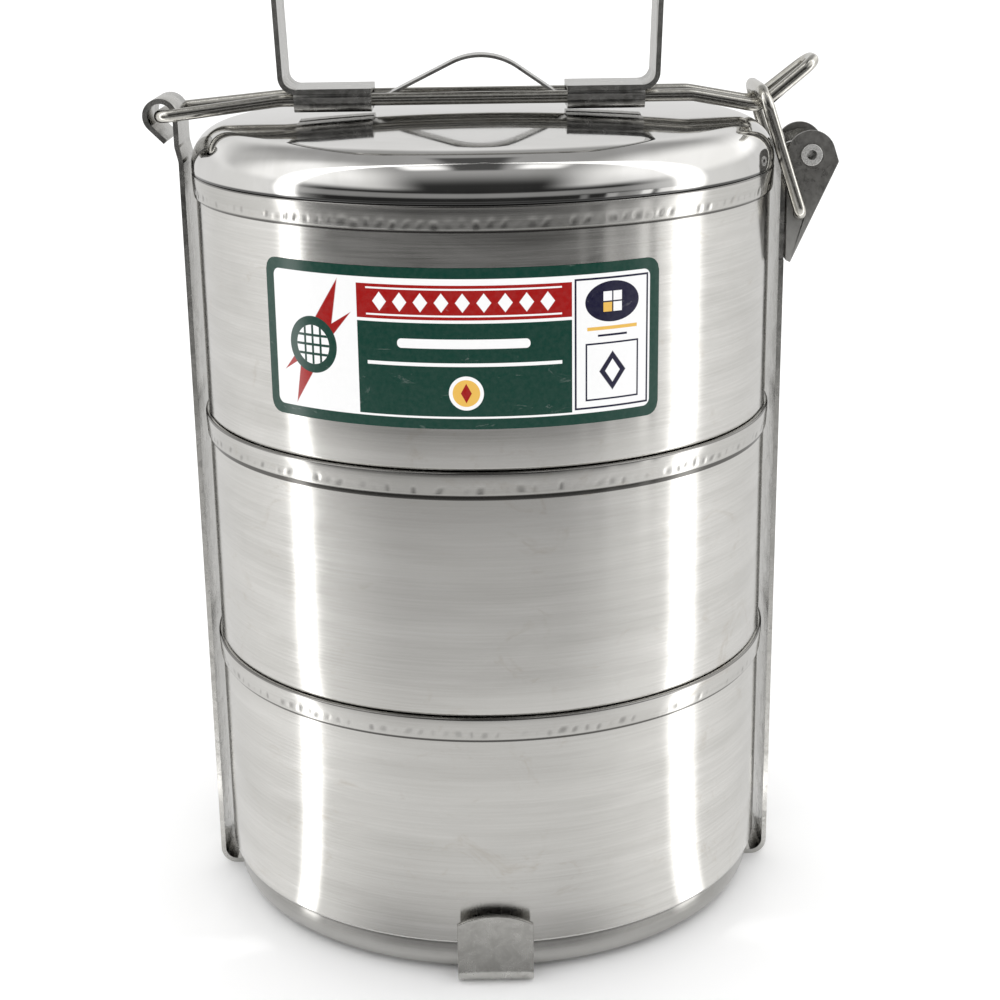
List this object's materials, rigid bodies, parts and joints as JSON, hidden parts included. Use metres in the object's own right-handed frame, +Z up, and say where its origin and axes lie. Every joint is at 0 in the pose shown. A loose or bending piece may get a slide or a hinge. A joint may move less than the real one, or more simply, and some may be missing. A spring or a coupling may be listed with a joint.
{
  "type": "tiffin carrier",
  "caption": "Round stacked steel food carrier: nesting bowls and a domed lid held in a strap frame by a hinged wire bail with a strap handle and a toggle latch.",
  "frame": {"origin": "underside of the base straps, at the middle where they cross", "axes": "+Z up, +X towards the toggle latch, -X towards the bail's hinge, -Y towards the label at the front"},
  "size_m": [0.1669, 0.1464, 0.2761],
  "materials": {
    "bowl_steel": "satin, brushed round the bowl",
    "lid_steel": "mirror polished",
    "strap_steel": "satin with dark sheared edges",
    "wire_steel": "polished wire",
    "latch_steel": "satin pressed sheet",
    "label_print": "printed sticker with a clear gloss film"
  },
  "bodies": {
    "frame": {"frame_strap": "strap_steel", "cross_strap": "strap_steel", "base_rivet": "strap_steel", "latch_rivet": "wire_steel"},
    "bail": {"bail_wire": "wire_steel", "handle": "strap_steel", "bow_spring": "strap_steel"},
    "latch_lever": {"latch_lever": "latch_steel"},
    "latch_link": {"latch_link": "wire_steel"},
    "lid": {"lid": "lid_steel"},
    "top_bowl": {"bowl_top": "bowl_steel", "label": "label_print"},
    "middle_bowl": {"bowl_middle": "bowl_steel"},
    "bottom_bowl": {"bowl_bottom": "bowl_steel"}
  },
  "joints": [
    {"name": "bail_swing", "type": "hinge", "parent": "frame", "child": "bail", "pos_m": [-0.077, 0, 0.1982], "axis": [0, -1, 0], "range_deg": [0, 195]},
    {"name": "lever_swing", "type": "hinge", "parent": "frame", "child": "latch_lever", "pos_m": [0.079, 0, 0.187], "axis": [0, -1, 0], "range_deg": [0, 121]},
    {"name": "link_swing", "type": "hinge", "parent": "latch_lever", "child": "latch_link", "pos_m": [0.0765, 0, 0.17308], "axis": [0, -1, 0], "range_deg": [-319, 0]},
    {"name": "lid_lift", "type": "slide", "parent": "frame", "child": "lid", "axis": [0, 0, 1], "range_m": [0, 0.0516]},
    {"name": "top_bowl_lift", "type": "slide", "parent": "frame", "child": "top_bowl", "axis": [0, 0, 1], "range_m": [0, 0.0388]},
    {"name": "middle_bowl_lift", "type": "slide", "parent": "frame", "child": "middle_bowl", "axis": [0, 0, 1], "range_m": [0, 0.026]},
    {"name": "bottom_bowl_lift", "type": "slide", "parent": "frame", "child": "bottom_bowl", "axis": [0, 0, 1], "range_m": [0, 0.0133]}
  ],
  "couplings": [
    {"joint": "lever_swing", "follows": "bail_swing", "ratio": 0.61538},
    {"joint": "link_swing", "follows": "bail_swing", "ratio": -1.6327},
    {"joint": "lid_lift", "follows": "bail_swing", "m_per_rad": 0.015},
    {"joint": "top_bowl_lift", "follows": "bail_swing", "m_per_rad": 0.01125},
    {"joint": "middle_bowl_lift", "follows": "bail_swing", "m_per_rad": 0.0075},
    {"joint": "bottom_bowl_lift", "follows": "bail_swing", "m_per_rad": 0.00375}
  ]
}
